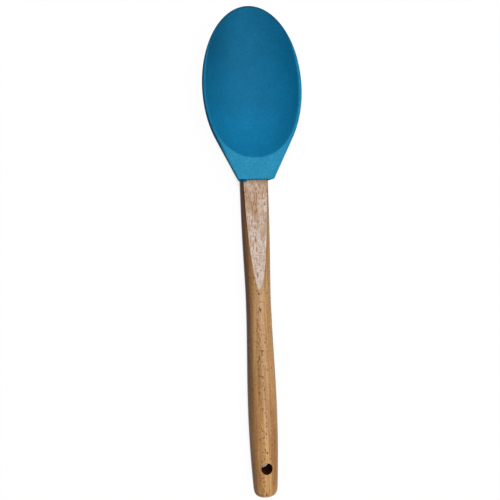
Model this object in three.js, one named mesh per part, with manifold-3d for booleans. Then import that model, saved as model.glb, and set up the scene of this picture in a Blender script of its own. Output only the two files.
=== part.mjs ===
// Silicone spoon with a wooden handle
//
// Millimetres, +Z up. The spoon lies face up with its tip towards +Y. The origin is on the surface that it
// lies on, under the middle of its length. A moulded silicone head wraps a stiff plastic core, and the tenon
// of the wooden handle is bonded into a socket in the core's neck.

import * as THREE from 'three';
import { mergeVertices } from 'three/addons/utils/BufferGeometryUtils.js';
import Module from 'manifold-3d';

const { degToRad, lerp, smoothstep } = THREE.MathUtils;
const wasm = await Module();
wasm.setup();

// Silicone head
const HEAD_LENGTH = 107.9; // tip to mouth
const HEAD_WIDTH = 63.5;
const OVAL_FROM_MOUTH = 7.2; // from the mouth to where the outline's oval, drawn whole, would end
const BOWL_DEPTH = 12.5;
const BOWL_FLOOR = 4.1; // wall under the deepest point
const RIM_WIDTH = 2.1; // flat rim beside the bowl
const TIP_LIP_WIDTH = 0.7; // what is left of the rim at the scraping tip
const NECK_LAND_LENGTH = 13.5; // flat land between the bowl and the mouth
const RIM_ROUND = 0.8;
const MOUTH_ROUND = 0.6;
const MOUTH_TOP_WALL = 4.5;
const MOUTH_SIDE_WALL = 2.1; // at the rim: the neck's sides lean in below it
const MOUTH_UNDER_WALL = 2.6;
const MOUTH_COVER = 5; // how far the silicone overlaps the bare wood

// Stiffening core
const CORE_THICKNESS = 1;
const CORE_SKIN = 0.9; // silicone between the bowl's surface and the core
const CORE_SIDE_SETBACK = 10; // from the bowl's edge to the plate's edge
const CORE_TIP_SETBACK = 28;
const CORE_ROOT_LENGTH = 26; // from the mouth to the front of the block under the plate
const CORE_ROOT_STEP = 0.4; // the block's slope lies this far under the plate's top
const KEY_HOLE_DIAMETER = 4.6;
const KEY_HOLE_INSET = 6.5; // from the plate's edge to the hole's middle
const KEY_HOLE_COUNT = 8;

// Wooden handle
const HANDLE_LENGTH = 201.7; // mouth to butt
const NECK_WIDTH = 18.3;
const NECK_DEPTH = 14.6;
const NECK_FLAT_THICKNESS = 8.2; // across the two bevels, at the mouth
const BEVEL_LENGTH = 69;
const WAIST_FROM_MOUTH = 76.5;
const WAIST_WIDTH = 16.2;
const WAIST_DEPTH = 13.2;
const GRIP_FROM_BUTT = 54;
const GRIP_WIDTH = 18.8;
const GRIP_DEPTH = 15.4;
const BUTT_WIDTH = 14.8; // where the sides would end if the end weren't rounded
const BUTT_DEPTH = 12;
const BUTT_ROUND_LENGTH = 6.8;
const HANGING_HOLE_DIAMETER = 7;
const HANGING_HOLE_FROM_BUTT = 19.4;
const TENON_LENGTH = 16; // measured from the mouth
const TENON_WIDTH = 13;
const TENON_THICKNESS = 5;
const TENON_ROUND = 1.2;

// Fits
const FIT_GAP = 0.3; // moulded or bonded faces that meet
const CUT_MARGIN = 5; // how far cutting tools stand past what they cut

// Shape of the curves: 2 is an ellipse, more is squarer
const BOWL_PROFILE_POWER = 2.6;
const BOWL_NECK_END_POWER = 2.2;
const UNDERSIDE_BOWL_POWER = 2;
const UNDERSIDE_NECK_POWER = 4;
const UNDERSIDE_TIP_POWER = 1.9;
const BUTT_ROUND_POWER = 3.3;
const NECK_TAPER_POWER = 1.6; // how long the neck holds its width before the waist
const NECK_DRAFT = degToRad(8); // lean of the neck's sides at the mouth
const RIM_TAPER_START = degToRad(5); // round the oval, from its side towards its tip
const RIM_TAPER_END = degToRad(48);

// Fineness
const BOWL_SIDES = 72;
const BOWL_RINGS = 9;
const CORE_SIDES = 48;
const CORE_RINGS = 6;
const UNDERSIDE_STEPS = 22;
const ROUND_STEPS = 3;
const OVAL_STEPS = 26;
const NECK_STEPS = 4;
const HANDLE_SIDES = 40;
const HANDLE_STEPS_PER_STRETCH = 9;
const BUTT_STEPS = 7;
const HOLE_SIDES = 32;
const ARC_SEGMENTS = 8;

// Places that follow from the sizes
const OVERALL_LENGTH = HEAD_LENGTH + HANDLE_LENGTH;
const TIP_Y = OVERALL_LENGTH / 2;
const MOUTH_Y = TIP_Y - HEAD_LENGTH;
const HEAD_OVAL_LENGTH = HEAD_LENGTH - OVAL_FROM_MOUTH;
const BUTT_Y = MOUTH_Y - HANDLE_LENGTH;
const OVAL_Y = TIP_Y - HEAD_OVAL_LENGTH / 2;
const RIM_Z = BOWL_FLOOR + BOWL_DEPTH;
const AXIS_Z = RIM_Z - MOUTH_TOP_WALL - FIT_GAP - NECK_FLAT_THICKNESS / 2;
const NECK_UNDERSIDE_Z = AXIS_Z - NECK_FLAT_THICKNESS / 2 - FIT_GAP - MOUTH_UNDER_WALL;
const MOUTH_HALF_WIDTH = NECK_WIDTH / 2 + FIT_GAP + MOUTH_SIDE_WALL;
const SHOULDER_Y = MOUTH_Y + MOUTH_COVER - FIT_GAP;

// A closed skin through rings of points. A ring of one point is a pole, and an end ring of many is capped.
function loft(rings) {
  const poleOf = (ring) => {
    const sum = ring.reduce((total, point) => total.add(point), new THREE.Vector3());
    return [sum.divideScalar(ring.length)];
  };
  const bands = rings.filter((ring) => ring.length > 1);
  const closed = [poleOf(rings[0]), ...bands, poleOf(rings.at(-1))];
  const corners = [];
  for (let index = 0; index + 1 < closed.length; index += 1) {
    const near = closed[index];
    const far = closed[index + 1];
    const sides = Math.max(near.length, far.length);
    for (let side = 0; side < sides; side += 1) {
      const next = (side + 1) % sides;
      if (near.length > 1) corners.push(near[side], near[next], far[next % far.length]);
      if (far.length > 1) corners.push(near[side % near.length], far[next], far[side]);
    }
  }
  let volume = 0;
  for (let index = 0; index < corners.length; index += 3) {
    volume += corners[index].dot(new THREE.Vector3().crossVectors(corners[index + 1], corners[index + 2]));
  }
  if (volume < 0) corners.reverse();
  return new THREE.BufferGeometry().setFromPoints(corners);
}

// A straight bar of the given section, drawn across X and Z, that runs back from its front end
function bar(section, frontY, backY) {
  const depth = frontY - backY;
  const options = { depth, bevelEnabled: false, curveSegments: ARC_SEGMENTS };
  const geometry = new THREE.ExtrudeGeometry(section, options);
  geometry.rotateX(Math.PI / 2);
  return geometry.translate(0, frontY, AXIS_Z);
}

// A round peg that stands along Z
function peg(diameter, x, y, lowZ, highZ) {
  const geometry = new THREE.CylinderGeometry(diameter / 2, diameter / 2, highZ - lowZ, HOLE_SIDES);
  geometry.rotateX(Math.PI / 2);
  return geometry.translate(x, y, (lowZ + highZ) / 2);
}

// Solid for cutting and joining
function solidOf(geometry) {
  geometry.deleteAttribute('normal');
  geometry.deleteAttribute('uv');
  const merged = mergeVertices(geometry);
  const vertProperties = Float32Array.from(merged.attributes.position.array);
  const triVerts = Uint32Array.from(merged.index.array);
  return new wasm.Manifold(new wasm.Mesh({ numProp: 3, vertProperties, triVerts }));
}

// Named mesh of a finished solid
function pieceOf(name, solid, material) {
  const { vertProperties, triVerts } = solid.getMesh();
  const geometry = new THREE.BufferGeometry();
  geometry.setAttribute('position', new THREE.BufferAttribute(vertProperties, 3));
  geometry.setIndex(new THREE.BufferAttribute(triVerts, 1));
  geometry.computeVertexNormals();
  const mesh = new THREE.Mesh(geometry, material);
  mesh.name = name;
  return mesh;
}

// One coordinate of a squared-off ellipse
const squared = (value, power) => Math.sign(value) * Math.abs(value) ** (2 / power);

// Height of a squared-off arch over its half-width, both as shares of the whole
const arch = (share, power) => Math.max(0, 1 - Math.abs(share) ** power) ** (1 / power);

// Where a straight side from the mouth's corner touches the oval, as an angle round the oval
function sideTangentAngle() {
  const across = MOUTH_HALF_WIDTH / (HEAD_WIDTH / 2);
  const along = (MOUTH_Y - OVAL_Y) / (HEAD_OVAL_LENGTH / 2);
  return Math.atan2(along, across) + Math.acos(1 / Math.hypot(across, along));
}

const TANGENT_ANGLE = sideTangentAngle();
const TANGENT_Y = OVAL_Y + (HEAD_OVAL_LENGTH / 2) * Math.sin(TANGENT_ANGLE);

// Half-width of the head in plan: an oval with two straight sides that run to the mouth
function headHalfWidth(y) {
  const ovalHalfWidth = (place) => (HEAD_WIDTH / 2) * arch((place - OVAL_Y) / (HEAD_OVAL_LENGTH / 2), 2);
  if (y >= TANGENT_Y) return ovalHalfWidth(y);
  return lerp(MOUTH_HALF_WIDTH, ovalHalfWidth(TANGENT_Y), (y - MOUTH_Y) / (TANGENT_Y - MOUTH_Y));
}

// Depth of the underside below the rim, on the centre line
function headDepth(y) {
  if (y >= OVAL_Y) return RIM_Z * arch((y - OVAL_Y) / (HEAD_OVAL_LENGTH / 2), UNDERSIDE_TIP_POWER);
  return RIM_Z - NECK_UNDERSIDE_Z * (1 - smoothstep(y, MOUTH_Y, OVAL_Y));
}

// Section across the head: flat top, rounded rim, sides that lean in at the neck, bellied underside
function headSection(y, inset) {
  const halfWidth = headHalfWidth(y) - inset;
  const top = RIM_Z - inset;
  const depth = headDepth(y) - 2 * inset;
  const round = Math.min(RIM_ROUND, depth / 3, halfWidth / 3);
  const bowlShare = smoothstep(y, MOUTH_Y, OVAL_Y);
  const power = lerp(UNDERSIDE_NECK_POWER, UNDERSIDE_BOWL_POWER, bowlShare);
  const lean = Math.tan(NECK_DRAFT) * (1 - bowlShare);
  const points = [];
  for (let step = 0; step < ROUND_STEPS; step += 1) {
    const angle = (Math.PI / 2) * (1 - step / ROUND_STEPS);
    const across = halfWidth - round + round * Math.cos(angle);
    points.push(new THREE.Vector3(across, y, top - round + round * Math.sin(angle)));
  }
  for (let step = 0; step <= UNDERSIDE_STEPS; step += 1) {
    const angle = (Math.PI * step) / UNDERSIDE_STEPS;
    const drop = (depth - round) * squared(Math.sin(angle), power);
    const across = (halfWidth - lean * drop) * squared(Math.cos(angle), power);
    points.push(new THREE.Vector3(across, y, top - round - drop));
  }
  const mirrored = points.slice(0, ROUND_STEPS).reverse();
  return [...points, ...mirrored.map((point) => new THREE.Vector3(-point.x, y, point.z))];
}

// Outside of the head, from the mouth to the tip
function headBody() {
  const sections = [];
  for (let step = 0; step < ROUND_STEPS; step += 1) {
    const angle = (Math.PI / 2) * (step / ROUND_STEPS);
    const inset = MOUTH_ROUND * (1 - Math.sin(angle));
    sections.push(headSection(MOUTH_Y + MOUTH_ROUND * (1 - Math.cos(angle)), inset));
  }
  for (let step = 0; step < NECK_STEPS; step += 1) {
    sections.push(headSection(lerp(MOUTH_Y + MOUTH_ROUND, TANGENT_Y, step / NECK_STEPS), 0));
  }
  for (let step = 0; step < OVAL_STEPS; step += 1) {
    const angle = lerp(TANGENT_ANGLE, Math.PI / 2, step / OVAL_STEPS);
    sections.push(headSection(OVAL_Y + (HEAD_OVAL_LENGTH / 2) * Math.sin(angle), 0));
  }
  return loft([...sections, [new THREE.Vector3(0, TIP_Y, RIM_Z - RIM_ROUND)]]);
}

// Edge of the bowl at an angle round its middle. The rim thins towards the tip, and the neck end is blunter.
function bowlEdge(angle) {
  const across = Math.cos(angle);
  const along = Math.sin(angle);
  if (along < 0) {
    const neckReach = OVAL_Y - MOUTH_Y - NECK_LAND_LENGTH;
    const sideReach = HEAD_WIDTH / 2 - RIM_WIDTH;
    const blunt = (value) => squared(value, BOWL_NECK_END_POWER);
    return new THREE.Vector2(sideReach * blunt(across), neckReach * blunt(along));
  }
  const outward = new THREE.Vector2(across / (HEAD_WIDTH / 2), along / (HEAD_OVAL_LENGTH / 2)).normalize();
  const thinning = smoothstep(Math.asin(along), RIM_TAPER_START, RIM_TAPER_END);
  const outline = new THREE.Vector2((HEAD_WIDTH / 2) * across, (HEAD_OVAL_LENGTH / 2) * along);
  return outline.addScaledVector(outward, -lerp(RIM_WIDTH, TIP_LIP_WIDTH, thinning));
}

// Point on the bowl's surface, or a set drop below it, at a share of the way out to the edge
function bowlPoint(edge, share, drop) {
  const height = RIM_Z - BOWL_DEPTH * (1 - share ** BOWL_PROFILE_POWER) - drop;
  return new THREE.Vector3(edge.x * share, OVAL_Y + edge.y * share, height);
}

const anglesRound = (count) => Array.from({ length: count }, (_, index) => (2 * Math.PI * index) / count);

// What the bowl takes out of the head, or out of what lies a set drop below its surface
function bowlHollow(drop) {
  const edges = anglesRound(BOWL_SIDES).map(bowlEdge);
  const rings = [[bowlPoint(edges[0], 0, drop)]];
  for (let ring = 1; ring <= BOWL_RINGS; ring += 1) {
    rings.push(edges.map((edge) => bowlPoint(edge, ring / BOWL_RINGS, drop)));
  }
  rings.push(edges.map((edge) => bowlPoint(edge, 1, drop).setZ(RIM_Z + CUT_MARGIN)));
  return loft(rings);
}

// Distance from the bowl's middle to the plate's edge
function plateReach(angle) {
  const setback = lerp(CORE_SIDE_SETBACK, CORE_TIP_SETBACK, smoothstep(Math.sin(angle), 0, 1));
  return bowlEdge(angle).length() - setback;
}

// Bowl-shaped plate of the core, grown on every side
function corePlate(grow) {
  const topDrop = CORE_SKIN + FIT_GAP - grow;
  const underDrop = CORE_SKIN + FIT_GAP + CORE_THICKNESS + grow;
  const rays = anglesRound(CORE_SIDES).map((angle) => {
    const edge = bowlEdge(angle);
    return { edge, share: (plateReach(angle) + grow) / edge.length() };
  });
  const ringAt = (ring, drop) => {
    return rays.map(({ edge, share }) => bowlPoint(edge, (share * ring) / CORE_RINGS, drop));
  };
  const rings = [];
  for (let ring = 1; ring <= CORE_RINGS; ring += 1) rings.push(ringAt(ring, topDrop));
  for (let ring = CORE_RINGS; ring >= 1; ring -= 1) rings.push(ringAt(ring, underDrop));
  const pole = (drop) => [bowlPoint(rays[0].edge, 0, drop)];
  return loft([pole(topDrop), ...rings, pole(underDrop)]);
}

// Oval of the handle's neck with its two bevels, grown on every side
function neckSection(grow) {
  const halfWidth = NECK_WIDTH / 2 + grow;
  const halfDepth = NECK_DEPTH / 2 + grow;
  const corner = Math.asin((NECK_FLAT_THICKNESS / 2 + grow) / halfDepth);
  const section = new THREE.Shape();
  section.absellipse(0, 0, halfWidth, halfDepth, -corner, corner, false);
  section.absellipse(0, 0, halfWidth, halfDepth, Math.PI - corner, Math.PI + corner, false);
  return section;
}

// Flat tongue with rounded corners, grown on every side
function tenonSection(grow) {
  const round = TENON_ROUND + grow;
  const right = TENON_WIDTH / 2 + grow - round;
  const upper = TENON_THICKNESS / 2 + grow - round;
  const section = new THREE.Shape();
  section.absarc(right, upper, round, 0, Math.PI / 2, false);
  section.absarc(-right, upper, round, Math.PI / 2, Math.PI, false);
  section.absarc(-right, -upper, round, Math.PI, Math.PI * 1.5, false);
  section.absarc(right, -upper, round, Math.PI * 1.5, Math.PI * 2, false);
  return section;
}

// The core without its socket, grown on every side, with its neck block running back to the given place
function coreBody(grow, backY) {
  const block = solidOf(bar(neckSection(grow), MOUTH_Y + CORE_ROOT_LENGTH + grow, backY));
  const slope = solidOf(bowlHollow(CORE_SKIN + FIT_GAP - grow + CORE_ROOT_STEP));
  let plate = solidOf(corePlate(grow));
  for (const step of anglesRound(KEY_HOLE_COUNT)) {
    const angle = step + Math.PI / KEY_HOLE_COUNT;
    const place = bowlEdge(angle).setLength(plateReach(angle) - KEY_HOLE_INSET);
    const hole = peg(KEY_HOLE_DIAMETER - 2 * grow, place.x, OVAL_Y + place.y, -CUT_MARGIN, RIM_Z);
    plate = plate.subtract(solidOf(hole));
  }
  return plate.add(block.subtract(slope));
}

// Head with the bowl scooped out and the core's place left inside, open to the mouth
function siliconeHead() {
  const cavity = coreBody(FIT_GAP, MOUTH_Y - CUT_MARGIN);
  return solidOf(headBody()).subtract(solidOf(bowlHollow(0))).subtract(cavity);
}

// Core with the socket for the tenon
function stiffeningCore() {
  const backY = MOUTH_Y + MOUTH_COVER;
  const socket = bar(tenonSection(FIT_GAP), MOUTH_Y + TENON_LENGTH + FIT_GAP, backY - CUT_MARGIN);
  return coreBody(0, backY).subtract(solidOf(socket));
}

// Size of the stick at a distance from the mouth, from its size at the neck, waist, grip and butt
function stickSize(distance, neck, waist, grip, butt) {
  const gripFromMouth = HANDLE_LENGTH - GRIP_FROM_BUTT;
  if (distance <= WAIST_FROM_MOUTH) {
    const share = Math.max(0, distance / WAIST_FROM_MOUTH) ** NECK_TAPER_POWER;
    return lerp(neck, waist, smoothstep(share, 0, 1));
  }
  if (distance <= gripFromMouth) {
    return lerp(waist, grip, smoothstep(distance, WAIST_FROM_MOUTH, gripFromMouth));
  }
  return lerp(grip, butt, ((distance - gripFromMouth) / GRIP_FROM_BUTT) ** 2);
}

const stickWidth = (distance) => stickSize(distance, NECK_WIDTH, WAIST_WIDTH, GRIP_WIDTH, BUTT_WIDTH);
const stickDepth = (distance) => stickSize(distance, NECK_DEPTH, WAIST_DEPTH, GRIP_DEPTH, BUTT_DEPTH);

// Oval ring round the stick at a distance from the mouth, scaled down where the end is rounded
function stickRing(distance, scale) {
  return anglesRound(HANDLE_SIDES).map((angle) => {
    const across = (stickWidth(distance) / 2) * scale * Math.cos(angle);
    const up = (stickDepth(distance) / 2) * scale * Math.sin(angle);
    return new THREE.Vector3(across, MOUTH_Y - distance, AXIS_Z + up);
  });
}

// The turned stick from the tenon's shoulder to the rounded butt, without bevels or hole
function stickBody() {
  const roundStart = HANDLE_LENGTH - BUTT_ROUND_LENGTH;
  const marks = [0, WAIST_FROM_MOUTH, HANDLE_LENGTH - GRIP_FROM_BUTT, roundStart];
  const rings = [stickRing(MOUTH_Y - SHOULDER_Y, 1)];
  for (let stretch = 0; stretch + 1 < marks.length; stretch += 1) {
    for (let step = 0; step < HANDLE_STEPS_PER_STRETCH; step += 1) {
      rings.push(stickRing(lerp(marks[stretch], marks[stretch + 1], step / HANDLE_STEPS_PER_STRETCH), 1));
    }
  }
  for (let step = 0; step < BUTT_STEPS; step += 1) {
    const share = Math.sin((Math.PI / 2) * (step / BUTT_STEPS));
    rings.push(stickRing(lerp(roundStart, HANDLE_LENGTH, share), arch(share, BUTT_ROUND_POWER)));
  }
  return loft([...rings, [new THREE.Vector3(0, BUTT_Y, AXIS_Z)]]);
}

// What one bevel takes off the neck: flat inside the head, then a plane that runs out at the bevel's tip
function bevelCut(side) {
  const profile = new THREE.Shape();
  const flat = NECK_FLAT_THICKNESS / 2;
  const runOut = stickDepth(BEVEL_LENGTH) / 2;
  const past = runOut + NECK_DEPTH;
  profile.moveTo(MOUTH_Y + MOUTH_COVER + CUT_MARGIN, flat);
  profile.lineTo(MOUTH_Y, flat);
  profile.lineTo(MOUTH_Y - BEVEL_LENGTH, runOut);
  profile.lineTo(MOUTH_Y - BEVEL_LENGTH, past);
  profile.lineTo(MOUTH_Y + MOUTH_COVER + CUT_MARGIN, past);
  const width = NECK_WIDTH + 2 * CUT_MARGIN;
  const geometry = new THREE.ExtrudeGeometry(profile, { depth: width, bevelEnabled: false });
  geometry.translate(0, 0, -width / 2);
  geometry.applyMatrix4(new THREE.Matrix4().set(0, 0, 1, 0, 1, 0, 0, 0, 0, 1, 0, 0, 0, 0, 0, 1));
  if (side < 0) geometry.rotateY(Math.PI);
  return geometry.translate(0, 0, AXIS_Z);
}

// Handle with its bevels, tenon and hanging hole
function woodenHandle() {
  const holeY = BUTT_Y + HANGING_HOLE_FROM_BUTT;
  const hole = peg(HANGING_HOLE_DIAMETER, 0, holeY, AXIS_Z - GRIP_DEPTH, AXIS_Z + GRIP_DEPTH);
  const tenon = bar(tenonSection(0), MOUTH_Y + TENON_LENGTH, SHOULDER_Y - CUT_MARGIN);
  let stick = solidOf(stickBody());
  for (const side of [1, -1]) stick = stick.subtract(solidOf(bevelCut(side)));
  return stick.add(solidOf(tenon)).subtract(solidOf(hole));
}

const silicone = new THREE.MeshStandardMaterial({ color: 0x1a76a8, roughness: 0.55, metalness: 0 });
const nylon = new THREE.MeshStandardMaterial({ color: 0x2b2d30, roughness: 0.5, metalness: 0 });
const wood = new THREE.MeshStandardMaterial({ color: 0xb48c62, roughness: 0.6, metalness: 0 });

const spoon = new THREE.Group();
spoon.add(pieceOf('silicone_head', siliconeHead(), silicone));
spoon.add(pieceOf('stiffening_core', stiffeningCore(), nylon));
spoon.add(pieceOf('wooden_handle', woodenHandle(), wood));

export default spoon;
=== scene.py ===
"""Silicone spoon with a wooden handle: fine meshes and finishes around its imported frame."""

import math

import bmesh
import bpy
import numpy as np
from bpy.props import FloatProperty, FloatVectorProperty, PointerProperty
from mathutils import Color, Matrix, Quaternion, Vector


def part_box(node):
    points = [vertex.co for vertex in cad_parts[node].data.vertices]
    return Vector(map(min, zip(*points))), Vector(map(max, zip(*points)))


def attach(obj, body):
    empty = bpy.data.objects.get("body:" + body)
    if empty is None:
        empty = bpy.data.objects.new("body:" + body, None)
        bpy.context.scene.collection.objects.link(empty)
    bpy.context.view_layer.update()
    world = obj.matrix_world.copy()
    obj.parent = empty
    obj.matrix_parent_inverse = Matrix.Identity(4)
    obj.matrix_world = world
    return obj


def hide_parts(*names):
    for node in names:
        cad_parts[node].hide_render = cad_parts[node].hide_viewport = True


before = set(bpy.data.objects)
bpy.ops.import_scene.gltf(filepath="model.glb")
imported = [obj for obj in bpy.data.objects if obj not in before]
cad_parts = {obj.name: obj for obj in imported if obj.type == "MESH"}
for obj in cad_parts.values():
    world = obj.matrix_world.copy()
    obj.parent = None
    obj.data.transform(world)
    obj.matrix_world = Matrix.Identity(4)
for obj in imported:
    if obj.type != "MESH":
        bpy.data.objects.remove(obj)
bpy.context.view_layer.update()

bl_info = {
    "name": "Silicone Spoon",
    "version": (1, 0, 0),
    "blender": (4, 5, 0),
    "location": "View3D > Sidebar > Spoon",
    "description": "Builds a silicone spoon with a wooden handle and a plain studio around it",
    "category": "Add Mesh",
}

# Places that the frame gives, in metres: tip towards +Y, open bowl towards +Z
HEAD_LOW, HEAD_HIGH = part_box("silicone_head")
HANDLE_LOW, HANDLE_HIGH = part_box("wooden_handle")
TIP_Y = HEAD_HIGH.y
MOUTH_Y = HEAD_LOW.y
BUTT_Y = HANDLE_LOW.y
TENON_END_Y = HANDLE_HIGH.y
RIM_Z = HEAD_HIGH.z
AXIS_Z = (HANDLE_LOW.z + HANDLE_HIGH.z) / 2
HEAD_HALF_WIDTH = HEAD_HIGH.x
GRIP_WIDTH = HANDLE_HIGH.x - HANDLE_LOW.x
GRIP_DEPTH = HANDLE_HIGH.z - HANDLE_LOW.z
MM = 0.001

# Shape of the curves: 2 is an ellipse, more is squarer
BOWL_PROFILE_POWER = 2.6
BOWL_NECK_END_POWER = 2.2
UNDERSIDE_BOWL_POWER = 2.0
UNDERSIDE_NECK_POWER = 4.0
UNDERSIDE_TIP_POWER = 1.9
BUTT_ROUND_POWER = 3.3
FLASH_POWER = 3.5
NECK_TAPER_POWER = 1.6
RIM_TAPER_START = math.radians(5)
RIM_TAPER_END = math.radians(48)

# Fineness of the meshes
CORNER_STEPS = 4
NECK_SIDE_STEPS = 30
OVAL_STEPS = 130
MOUTH_STEPS = 28
BOWL_EDGE_STEPS = 720
BOWL_RINGS = 36
EDGE_RINGS = 10
LAND_RINGS = 14
LAND_RING_POWER = 1.6
ROUND_RINGS = 8
UNDERSIDE_STEPS = 72
HANDLE_COLUMNS = 144
HANDLE_RINGS = 360
HANDLE_BODY_SHARE = 0.92
BEVEL_EDGE_TURN = math.radians(60)
TENON_CORNER_STEPS = 6
HOLE_SIDES = 96
HOLE_ROWS = 120
FLASH_COLUMNS = 32
FLASH_ROWS = 10
SMOOTH_ANGLE = math.radians(32)

# Joins between the meshes
FLASH_LIFT = 0.04 * MM
FLASH_ROOT = 0.2 * MM
MOUTH_RIM_ANGLE = math.radians(60)
MOUTH_RIM_DEPTH = 0.2 * MM
WELD = 0.001 * MM

# Finishes: reach of the painted highlight near the tip, of the wear and painted shade near the mouth, of the
# pale end, pores and bevel's edge, and the darkest painted shade
TIP_HIGHLIGHT_FULL = 12 * MM
TIP_HIGHLIGHT_END = 36 * MM
TIP_HIGHLIGHT_INNER = 5 * MM
TIP_HIGHLIGHT_OUTER = 18 * MM
MOUTH_WEAR_AND_SHADE = 50 * MM
PALE_END = 12 * MM
PORE_LINE_X = -1.4 * MM
PORE_LINE_INNER = 1.2 * MM
PORE_LINE_OUTER = 3.6 * MM
BEVEL_FADE = 0.12 * MM
DARKEST_SHADE = 0.9

# Lamps and floor of the stage
KEY_PLACE = (0.27, 0.15, 1.1)
KEY_TARGET = (0, 0, 0)
KEY_SIZE = (1.0, 1.0)
KEY_TINT = (1.0, 0.99, 0.97)
STRIP_PLACE = (0.52, -0.36, 1.1)
STRIP_TARGET = (0, -0.08, 0)
STRIP_SIZE = (0.6, 0.12)
STRIP_TINT = (1.0, 0.98, 0.96)
FLOOR_HALF_WIDTH = 3
FLOOR_GLOW = 1.06

# Camera: size of its image and focal length in pixels, place, and turn as an axis with its angle for length
IMAGE_SIZE = 500
FOCAL_LENGTH = 588.5
SENSOR_WIDTH = 36.0
CAMERA_NEAR = 10 * MM
CAMERA_PLACE = (-77.46 * MM, 4.12 * MM, 358.85 * MM + RIM_Z)
CAMERA_TURN = Vector((0, math.radians(-11.276), math.radians(-2.243)))


def length(name, description, millimetres):
    """A length that a user may change, given in millimetres and kept in metres."""
    return FloatProperty(name=name, description=description, default=millimetres * MM, min=0, unit="LENGTH")


def colour(name, description, rgb):
    """A linear colour that a user may change."""
    return FloatVectorProperty(name=name, description=description, default=rgb, size=3, min=0, max=1,
                               subtype="COLOR")


class SiliconeHeadSettings(bpy.types.PropertyGroup):
    bowl_depth: length("Bowl depth", "From the rim down to the deepest point", 12.5)
    rim_width: length("Rim width", "Top of the rim beside the bowl", 2.1)
    tip_lip_width: length("Tip lip width", "What is left of the rim at the tip", 0.7)
    neck_land_length: length("Neck land length", "Flat land between the bowl and the mouth", 13.5)
    oval_from_mouth: length("Oval from mouth", "From the mouth to where the whole oval would end", 7.2)
    mouth_half_width: length("Mouth half width", "Half of the head's width at the mouth", 11.55)
    neck_underside: length("Neck underside", "Height of the underside at the mouth", 0.7)
    rim_round: length("Rim rounding", "Radius of the rim's outer edge", 0.9)
    mouth_round: length("Mouth rounding", "Radius of the mouth's corners", 0.25)
    neck_draft: FloatProperty(name="Neck draft", description="Lean of the neck's sides at the mouth",
                              default=math.radians(8), min=0, subtype="ANGLE")
    edge_softness: length("Edge softness", "How far the bowl's edge is rounded over", 0.55)
    flash_start: length("Flash start", "From the middle to the near end of the mould flash", 5.0)
    flash_end: length("Flash end", "From the middle to the far end of the mould flash", 9.1)
    flash_reach: length("Flash reach", "How far the mould flash runs out on the wood", 1.3)
    flash_thickness: length("Flash thickness", "Thickness of the mould flash at the mouth", 0.6)
    bowl_blue: colour("Bowl blue", "Silicone in the bowl and outside", (0.004, 0.176, 0.362))
    # Pale specks, and near the tip a painted highlight
    speck_and_highlight_white: colour("Sparkle", "Fine pale specks in the silicone", (0.40, 0.74, 0.86))
    # Paler blue of the land; on the right rim and the neck's underside it is painted light
    pale_land_and_lit_blue: colour("Land blue", "Frosted silicone on the neck land", (0.018, 0.252, 0.450))


class WoodenHandleSettings(bpy.types.PropertyGroup):
    neck_width: length("Neck width", "Width of the stick at the mouth", 18.3)
    neck_depth: length("Neck depth", "Depth of the stick at the mouth, before its bevels", 14.6)
    neck_flat: length("Neck flat", "Thickness across the two bevels at the mouth", 8.2)
    bevel_length: length("Bevel length", "From the mouth to the tip of the bevel", 71)
    waist_from_mouth: length("Waist from mouth", "Where the stick is thinnest", 76.5)
    waist_width: length("Waist width", "Width of the stick at its waist", 16.2)
    waist_depth: length("Waist depth", "Depth of the stick at its waist", 13.2)
    grip_from_butt: length("Grip from butt", "Where the stick is thickest", 54)
    butt_width: length("Butt width", "Width that the sides run to at the end", 14.8)
    butt_depth: length("Butt depth", "Depth that the sides run to at the end", 12)
    butt_round: length("Butt rounding", "Length of the rounded end", 6.8)
    hole_diameter: length("Hole diameter", "Hanging hole", 7)
    hole_from_butt: length("Hole from butt", "From the end to the middle of the hanging hole", 19.4)
    hole_round: length("Hole rounding", "Radius of the hole's sanded edge", 0.45)
    bevel_softness: length("Bevel softness", "How far the bevel's edges are sanded over", 0.3)
    shoulder: length("Shoulder", "How far the stick reaches into the mouth", 4.7)
    tenon_width: length("Tenon width", "Width of the hidden tongue", 13)
    tenon_thickness: length("Tenon thickness", "Thickness of the hidden tongue", 5)
    tenon_round: length("Tenon rounding", "Radius of the tongue's corners", 1.2)
    wood_dark: colour("Dark grain", "Late wood in the grain", (0.275, 0.124, 0.036))
    wood_mid: colour("Wood", "Oiled wood of the round stick", (0.40, 0.206, 0.068))
    wood_light: colour("Pale grain", "Early wood in the grain", (0.53, 0.312, 0.130))
    bevel_wood: colour("Bevel wood", "Paler wood that the bevel cuts open", (0.435, 0.312, 0.222))
    pore_brown: colour("Pores", "Pores and rays in the wood", (0.13, 0.040, 0.010))
    fleck_orange: colour("Flecks", "Open fibres on the bevel", (0.31, 0.128, 0.030))
    # Pale worn places on the bevel, partly painted sheen, and the painted highlight along its edges
    scuff_and_sheen_white: colour("Scuffs", "Rubbed places on the bevel", (0.735, 0.655, 0.625))
    # Dark brown wood inside the drilled hole, and its darkest places
    dark_hole_brown: colour("Burnt wood", "Inside of the drilled hole", (0.15, 0.050, 0.019))
    hole_mottle_black: colour("Char", "Darkest of the burnt wood", (0.055, 0.018, 0.007))
    dust_tan: colour("Dust", "Fine pale specks in the wood", (0.58, 0.41, 0.27))
    # Tint of the painted shade along the sides and beside the bevel
    painted_shade_tint: colour("Stain", "What darker wood keeps of the plain wood's colour", (0.24, 0.085, 0.0))
    # Strength of the painted shade along the left side
    flank_shade: FloatProperty(name="Flank shade", description="Darker wood along the left side",
                               default=0.76, min=0, max=1, subtype="FACTOR")


class StiffeningCoreSettings(bpy.types.PropertyGroup):
    nylon_dark: colour("Dark nylon", "Darker places of the hidden core", (0.018, 0.019, 0.022))
    nylon_pale: colour("Pale nylon", "Paler places of the hidden core", (0.034, 0.036, 0.040))


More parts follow.
